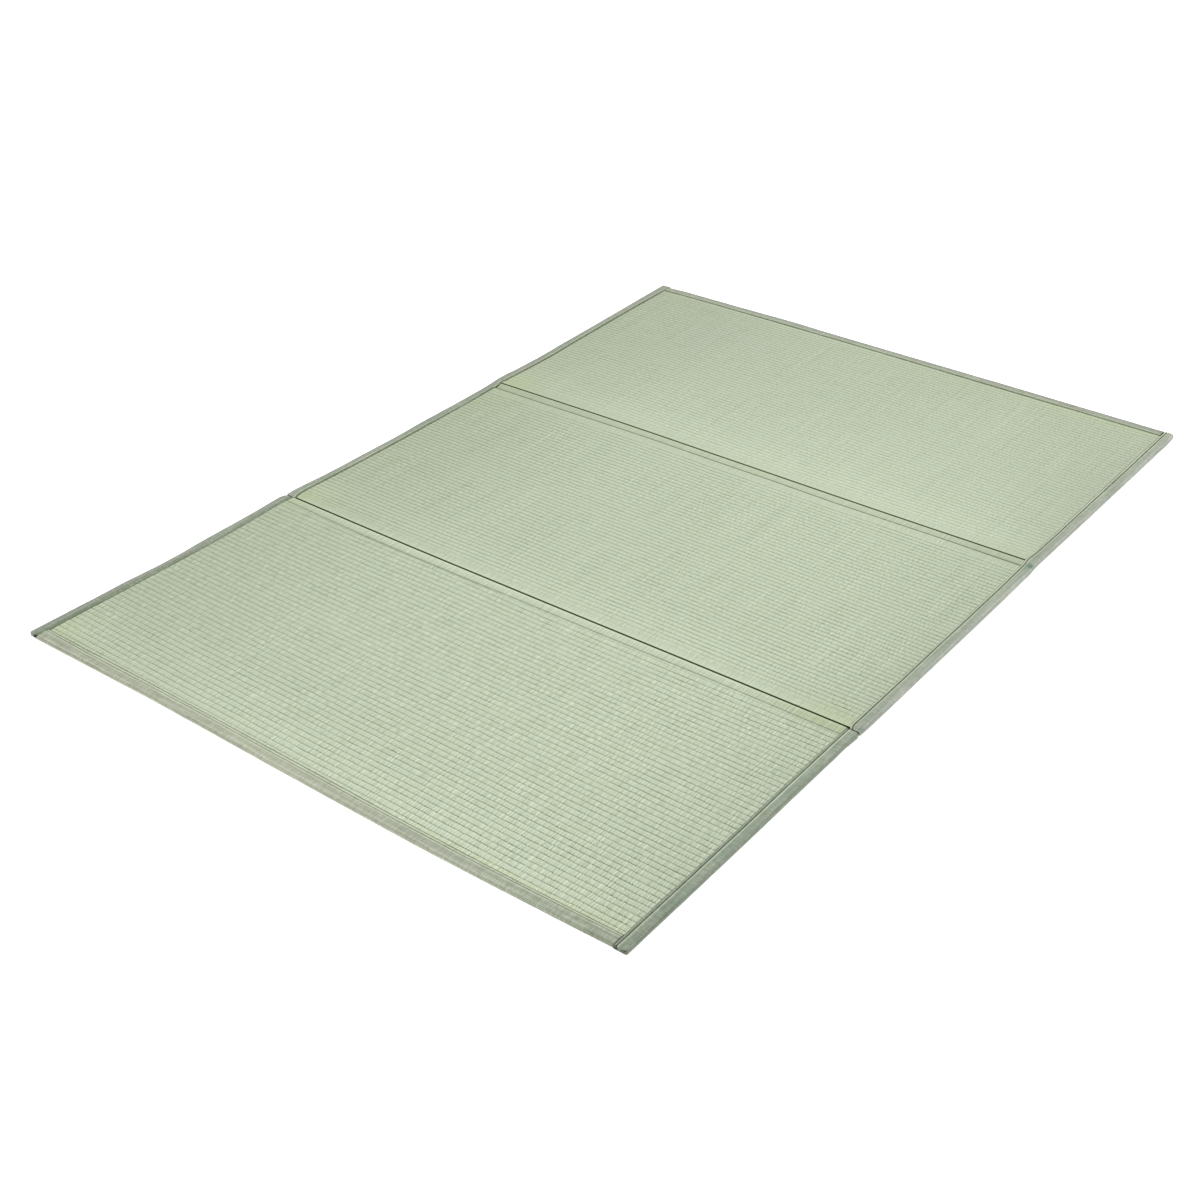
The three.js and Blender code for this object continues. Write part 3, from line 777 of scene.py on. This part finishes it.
tapeFold = {
    "thickness": 0.8,
    "cover": 24.0,
    "stitch": 19.2,  # the stitched line, in from the mat's edge
    "outerRadius": 3.0,
    "floorRadius": 1.2,  # the fold is pressed flatter where it meets the floor
    "hemRadius": 0.6,
    "tuck": 0.3,  # how far the end tapes reach in under the side tapes
    "station": 4.0,
    "closest": 0.4,  # stations are never closer than this
    "capLength": 2.5,
    "capSize": 0.9,  # the end's own face is smaller than this
    "topFrom": 5.0,
    "stitches": {"usual": 0.9, "vary": 0.5, "length": 7.0, "least": 0.5},
    "hemShadeEdge": 0.5,
    "greyFade": (5.0, 15.0),  # how far in from the fold the grey, partly painted floor bounce, ends, and the fold's own painted light
    "lightFade": (3.0, 7.0),
    "foldLine": (5.2, 2.0),  # where the painted highlight by the fold lies, and its reach
    # how dark the painted shade in a crease is
    "creaseShade": 0.3,
    "cornerFade": (1.2, 12.0),
    "underFade": (1.4, 10.0),
    "lineReach": 1.35,  # how far from the stitched line its dark reaches
    "ridgeAt": -1.8,
    "ridgeReach": 1.8,
    "gapShade": 0.92,  # how dark the painted shade in the gap is where two tapes meet
    "bandWander": (0.25, 40.0),  # how far the cloth strays sideways and upwards, and over what distance
    "topWander": (0.12, 25.0),
}


def tapePath():  # middle line of the folded tape: how far in from the edge, how high
    half = tapeFold["thickness"] / 2
    low, cover, stitch = half, tapeFold["cover"], tapeFold["stitch"]
    hem, top = tapeFold["hemRadius"], mat["thickness"] - half
    upper, lower = tapeFold["outerRadius"], tapeFold["floorRadius"]
    path = [(cover - 8, top - 2 * hem), (cover - 3, top - 2 * hem)]
    for k in range(5):  # the inner edge is turned under
        angle = -math.pi / 2 + k * math.pi / 4
        path.append((cover - half - hem + hem * math.cos(angle), top - hem + hem * math.sin(angle)))
    for past, rise in ((2.4, 0), (1.1, 0), (0.65, -0.2), (0.25, -0.6), (-0.25, -0.6), (-0.65, -0.2),
                       (-1.2, 0.02), (-2.4, 0.1), (-4.2, 0)):  # pulled down by the stitches
        path.append((stitch + past, top + rise))
    path += [(12.0, top - 0.05), (9.0, top - 0.05), (6.5, top), (5.0, top + 0.05)]
    for centre, turn, radius in ((top - upper, math.pi / 2, upper), (low + lower, math.pi, lower)):
        for k in range(5):
            angle = turn + k * math.pi / 8
            path.append((half + radius + radius * math.cos(angle), centre + radius * math.sin(angle)))
    path += [(cover * 0.5, low), (cover - half, low)]
    return path


def fadedIn(fade, inward):  # a tape's stray dies away inwards
    start, reach = tapeFold[fade]
    return clamp(start - inward / reach, 0.0, 1.0)


def tapeShift(stray, along, inward, z):  # how far in a point of the tape moves with the tape's own stray
    outer = -tableAt(stray["outer"], along)
    if z < mat["thickness"] / 2:
        return outer * fadedIn("underFade", inward)
    stitched, hem = tableAt(stray["stitch"], along), tableAt(stray["hem"], along)
    stitch, rounded = tapeFold["stitch"], tapeFold["outerRadius"] + 1
    if inward < stitch:
        return mixed(outer, stitched, clamp((inward - rounded) / (stitch - 1.5 - rounded), 0.0, 1.0))
    return mixed(stitched, hem, clamp((inward - stitch - 1) / (tapeFold["cover"] - stitch - 1), 0.0, 1.0))


endCaps = [(0.0, 0.02), (0.0, 0.6), (0.1, 0.86), (0.6, 0.96), (1.6, 1.0)]  # depth in from the end, size there


def tapeStations(binding):
    low, high = binding["from"], binding["to"]
    steps = round((high - low) / tapeFold["station"])
    places = [mixed(low, high, k / steps) for k in range(steps + 1)]
    if not binding["closed"]:
        return [(place, 1.0) for place in places]
    places += [place for place, shift in tapeStray[binding["stray"]]["hem"]]
    stations = []
    cap, closest = tapeFold["capLength"], tapeFold["closest"]
    for place in sorted(places):
        if low + cap < place < high - cap and (not stations or place - stations[-1][0] > closest):
            stations.append((place, 1.0))
    starts = [(low + depth, size) for depth, size in endCaps]
    ends = [(high - depth, size) for depth, size in endCaps[::-1]]
    return starts + stations + ends


def onEdge(edge, along, inward, z):
    halfWidth = mat["width"] / 2
    if edge == "left":
        return lay(inward - halfWidth, along, z)
    if edge == "right":
        return lay(halfWidth - inward, along, z)
    if edge == "near":
        return lay(along, nearEnd + inward, z)
    return lay(along, farEnd - inward, z)


def roundedEnd(distance, radius):  # how far a rounded corner draws in, at a distance from the tape's end
    if distance >= radius:
        return 0.0
    return radius - math.sqrt(radius ** 2 - (radius - max(distance, 0.0)) ** 2)


# tint, by place along: 0 for the paler end tapes, 1 for the side tapes, partly a painted shade of the same
# cloth;
# hem: how dark the painted shade on the hem past the stitching reads, below zero for painted light that reads
# paler, and hemShadeStart how far past the stitching that begins; line: how dark the stitched line is;
# ridgeHighlight: how strong the painted highlight on the cloth beside it is, and ridgeAt where, in from it;
# light: how light the top and the folded edge are painted; fade: the same painted light by place along;
# foldHighlight: a painted highlight just in from the folded edge; corners: radius at each end; hinged: which
# ends meet another tape; creases (painted shade in the cloth's creases), shadowSpots (painted shadow),
# bluePatches: place along, place in, reach each way, depth or strength
crossEnd = mat["width"] / 2 - tapeFold["cover"] + tapeFold["tuck"]
bindings = [
    {"name": "bindingNear", "node": "binding_near", "edge": "near", "stray": "near",
     "from": -crossEnd, "to": crossEnd, "closed": False,
     "tint": [(0, 0), (350, 0.2), (650, 0.45)], "grey": 0.15,
     "hem": -1.0, "hemShadeStart": 0.9, "line": 0.5, "ridgeHighlight": 1.2, "light": (0.97, 1.13), "foldHighlight": 0.08,
     "fade": [(-600, 0.91), (-480, 0.96), (-350, 1.0), (0, 1.025), (300, 0.985), (450, 0.97), (600, 0.93)],
     "shadowSpots": [(640, 1, 80, 4, 0.14)]},
    {"name": "bindingFar", "node": "binding_far", "edge": "far", "stray": "far",
     "from": -crossEnd, "to": crossEnd, "closed": False,
     "tint": [(0, 0.3)], "grey": 0.8,
     "hem": 0.88, "hemShadeStart": 4.0, "line": 0.0, "ridgeHighlight": 1.8, "ridgeAt": -0.6, "light": (0.93, 0.78),
     "fade": [(-600, 0.96), (-300, 0.99), (150, 0.99), (550, 0.97)]},
    {"name": "bindingLeftNear", "node": "binding_left_near", "edge": "left", "stray": "leftNear",
     "from": -1003.0, "to": -350.2, "corners": (5, 7), "hinged": (0, 1), "closed": True,
     "tint": [(0, 0.8)], "grey": 0.9,
     "hem": 0.42, "hemShadeStart": 0.2, "line": 0.2, "ridgeHighlight": 0.0, "light": (0.85, 0.82),
     "fade": [(-900, 0.95), (-600, 1), (-450, 1.03)], "shadowSpots": [(-1003, 22, 2, 3, 0.9)]},
    {"name": "bindingLeftFar", "node": "binding_left_far", "edge": "left", "stray": "leftFar",
     "from": -348.4, "to": 1001.5, "corners": (5, 2), "hinged": (1, 0), "closed": True,
     "tint": [(0, 0.9), (600, 0.7)], "grey": 0.8,
     "hem": 0.92, "hemShadeStart": 0.6, "line": 0.4, "ridgeHighlight": 1.2, "light": (0.925, 0.87),
     "fade": [(-300, 1.03), (0, 0.965), (200, 0.925), (450, 0.955), (650, 0.985), (880, 0.925)],
     "shadowSpots": [(305, 23, 9, 3, 0.75)], "bluePatches": [(-270, 14, 70, 9, 0.3)]},
    {"name": "bindingRightNear", "node": "binding_right_near", "edge": "right", "stray": "rightNear",
     "from": -1000.3, "to": -351.0, "corners": (2, 6), "hinged": (0, 1), "closed": True,
     "tint": [(0, 1.0)], "grey": 0.15,
     "hem": 0.04, "hemShadeStart": 0.5, "line": 1.2, "ridgeHighlight": 1.6, "light": (0.92, 0.85),
     "fade": [(-950, 0.89), (-850, 0.93), (-700, 0.985), (-500, 1.035)],
     "shadowSpots": [(-1000.3, 2, 1.5, 1.8, 0.9), (-1000.3, 21, 2.5, 3, 0.6), (-940, 2, 60, 5, 0.07)],
     "bluePatches": [(-880, 9, 25, 7, 0.4), (-720, 10, 18, 6, 0.5), (-560, 8, 30, 6, 0.3),
                     (-395, 11, 14, 6, 0.3), (-460, 9, 60, 9, 0.15)]},
    {"name": "bindingRightFar", "node": "binding_right_far", "edge": "right", "stray": "rightFar",
     "from": -349.0, "to": 998.0, "corners": (2, 7), "hinged": (1, 0), "closed": True,
     "tint": [(500, 0.85), (900, 0.45)], "grey": 0.8,
     "hem": -0.85, "hemShadeStart": 0.9, "line": 2.1, "ridgeHighlight": 1.0, "light": (0.99, 1.2),
     "fade": [(-340, 0.88), (-200, 0.97), (100, 1.0), (400, 1.02)],
     "creases": [(306, 8, 4, 7, 1.0), (317, 6, 4, 4, -0.4), (331, 12, 3, 6, 0.5), (345, 13, 3, 4, 0.6)],
     "shadowSpots": [(343, 14, 3, 3.5, 0.3), (308, 8, 3, 4, 0.15), (-340, 5, 6, 4, 0.3)],
     "bluePatches": [(307, 9, 8, 8, 1.5), (325, 11, 45, 8, 0.4), (-300, 12, 16, 5, 0.4)]},
]


def makeTape(binding, seed):
    stations, path = tapeStations(binding), tapePath()
    lengths = [0.0]
    for (a, b), (c, d) in zip(path, path[1:]):
        lengths.append(lengths[-1] + math.hypot(c - a, d - b))
    heart = (tapeFold["cover"] / 2, mat["thickness"] / 2)
    edge, stitch, stray = binding["edge"], tapeFold["stitch"], tapeStray[binding["stray"]]
    low, high = binding["from"], binding["to"]
    ridgeMiddle = stitch + binding.get("ridgeAt", tapeFold["ridgeAt"])
    (band, bandReach), (top, topReach) = tapeFold["bandWander"], tapeFold["topWander"]
    hemShadeStart, hemShadeEdge = stitch + binding["hemShadeStart"], tapeFold["hemShadeEdge"]
    foldHighlight, (foldLine, foldReach) = binding.get("foldHighlight", 0.0), tapeFold["foldLine"]
    bm = bmesh.new()
    bmesh.ops.create_grid(bm, x_segments=len(stations) - 1, y_segments=len(path) - 1, size=1.0)
    weave = bm.verts.layers.float_vector.new("weave")
    marks = bm.verts.layers.float_vector.new("marks")
    tones = bm.verts.layers.float_vector.new("tones")
    for vert in bm.verts:
        along, size = stations[round((vert.co.x + 1) / 2 * (len(stations) - 1))]
        step = round((vert.co.y + 1) / 2 * (len(path) - 1))
        inward, z = path[step]
        onTop = 1.0 if z > tapeFold["topFrom"] else 0.0
        # painted shade on the hem past the stitching; a value below zero paints it paler
        hem = binding["hem"] * eased(hemShadeStart - hemShadeEdge, hemShadeStart + hemShadeEdge, inward) * onTop
        fromLine = tapeFold["lineReach"] - abs(inward - stitch)
        line = clamp(binding["line"] * fromLine, 0.0, min(binding["line"], 1.0)) * onTop
        line *= stitchedDark(tapeFold["stitches"], along, seed + 2)
        # painted highlight on the cloth beside the stitched line
        ridgeHighlight = binding["ridgeHighlight"] * max(0.0, 1 - abs(inward - ridgeMiddle) / tapeFold["ridgeReach"]) * onTop
        # painted shade in the cloth's creases, lighter where a crease's value is below zero
        crease = spotsAt(binding.get("creases", []), along, inward) * onTop
        # painted shadow spots at the corners and under the folded ends
        line = min(1.0, line + spotsAt(binding.get("shadowSpots", []), along, inward))
        # painted shade in the gap where this tape's end meets another tape
        if binding["closed"] and size < tapeFold["capSize"]:
            if binding["hinged"][1 if along > 0.5 * (low + high) else 0]:
                line = tapeFold["gapShade"]
        blue = spotsAt(binding.get("bluePatches", []), along, inward) * onTop
        tint = tableAt(binding["tint"], along) + blue
        # the folded edge drawn greyer, partly as painted light bounced from the floor
        grey = binding["grey"] * (1 - eased(*tapeFold["greyFade"], inward))
        # painted light on the top and the folded edge
        light = mixed(binding["light"][1], binding["light"][0], eased(*tapeFold["lightFade"], inward))
        # painted highlight just in from the folded edge
        light += foldHighlight * math.exp(-((inward - foldLine) / foldReach) ** 2) * onTop
        vert[weave] = (along, lengths[step], seed)
        vert[marks] = (hem + tapeFold["creaseShade"] * crease, line, ridgeHighlight)
        vert[tones] = (tint, grey, light * tableAt(binding["fade"], along))
        shift = tapeShift(stray, along, inward, z) + band * wander(along, inward, bandReach, seed + 5)
        if binding["closed"]:
            startRadius, endRadius = binding["corners"]
            drawn = roundedEnd(along - low, startRadius) + roundedEnd(high - along, endRadius)
            shift += drawn * fadedIn("cornerFade", inward)
        z -= crease
        if z > mat["thickness"] / 2:
            z += top * wander(along, inward * 3, topReach, seed)
        vert.co = onEdge(edge, along, mixed(heart[0], inward + shift, size), mixed(heart[1], z, size))
    bmesh.ops.recalc_face_normals(bm, faces=bm.faces)
    piece = finishPiece(bm, binding["name"], tape)
    solid = piece.modifiers.new("clothThickness", "SOLIDIFY")
    solid.thickness = tapeFold["thickness"] * mm
    solid.offset = 0.0
    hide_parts(binding["node"])
    return piece


tapePieces = [makeTape(binding, 3.0 * k) for k, binding in enumerate(bindings)]
print("binding tape made:", [len(piece.data.polygons) for piece in tapePieces])


# floor, light and camera

studio = {
    "floorSize": 200.0,
    "floorColour": (0.93, 0.93, 0.93, 1.0),
    "floorRoughness": 0.9,
    "floorGlow": 0.65,  # the sweep is lit from behind, so that it stays pale under the mat's edges
    "white": (1.0, 1.0, 1.0, 1.0),
    "ambient": 0.62,
    "sunPower": 2.05,
    "sunFrom": (-0.45, 0.7, 1.0),
    "sunSoftness": 40.0,
}


def makeFloor():
    bm = bmesh.new()
    bmesh.ops.create_grid(bm, x_segments=1, y_segments=1, size=studio["floorSize"] / 2)
    mesh = bpy.data.meshes.new("floor")
    bm.to_mesh(mesh)
    bm.free()
    material, nodes, links, shader = newMaterial("paleFloor")
    shader.inputs["Base Color"].default_value = studio["floorColour"]
    shader.inputs["Roughness"].default_value = studio["floorRoughness"]
    shader.inputs["Emission Color"].default_value = studio["white"]
    shader.inputs["Emission Strength"].default_value = studio["floorGlow"]
    mesh.materials.append(material)
    floor = bpy.data.objects.new("floor", mesh)
    bpy.context.scene.collection.objects.link(floor)


def makeLights():
    world = bpy.data.worlds.new("studio")
    bpy.context.scene.world = world
    world.use_nodes = True
    background = world.node_tree.nodes["Background"]
    background.inputs["Color"].default_value = studio["white"]
    background.inputs["Strength"].default_value = studio["ambient"]
    light = bpy.data.lights.new("softKey", "SUN")
    light.energy = studio["sunPower"]
    light.angle = math.radians(studio["sunSoftness"])
    key = bpy.data.objects.new("softKey", light)
    key.rotation_mode = "QUATERNION"
    key.rotation_quaternion = Vector(studio["sunFrom"]).to_track_quat("Z", "Y")
    bpy.context.scene.collection.objects.link(key)


photoView = {
    "place": (1.8487, -2.4624, 1.8396),
    "azimuth": 38.84,
    "elevation": 33.22,
    "roll": -1.37,
    "lens": 52.56,
    "sensor": 36.0,
}


def makeCamera():
    data = bpy.data.cameras.new("camera")
    data.lens = photoView["lens"]
    data.sensor_width = photoView["sensor"]
    camera = bpy.data.objects.new("camera", data)
    azimuth, elevation = math.radians(photoView["azimuth"]), math.radians(photoView["elevation"])
    level = math.cos(elevation)
    ahead = Vector((-math.sin(azimuth) * level, math.cos(azimuth) * level, -math.sin(elevation)))
    roll = Quaternion((0, 0, 1), math.radians(photoView["roll"]))
    camera.location = photoView["place"]
    camera.rotation_mode = "QUATERNION"
    camera.rotation_quaternion = ahead.to_track_quat("-Z", "Y") @ roll
    bpy.context.scene.collection.objects.link(camera)
    bpy.context.scene.camera = camera


makeFloor()
makeLights()
makeCamera()
bpy.context.scene.view_settings.view_transform = "Standard"
print("studio ready")
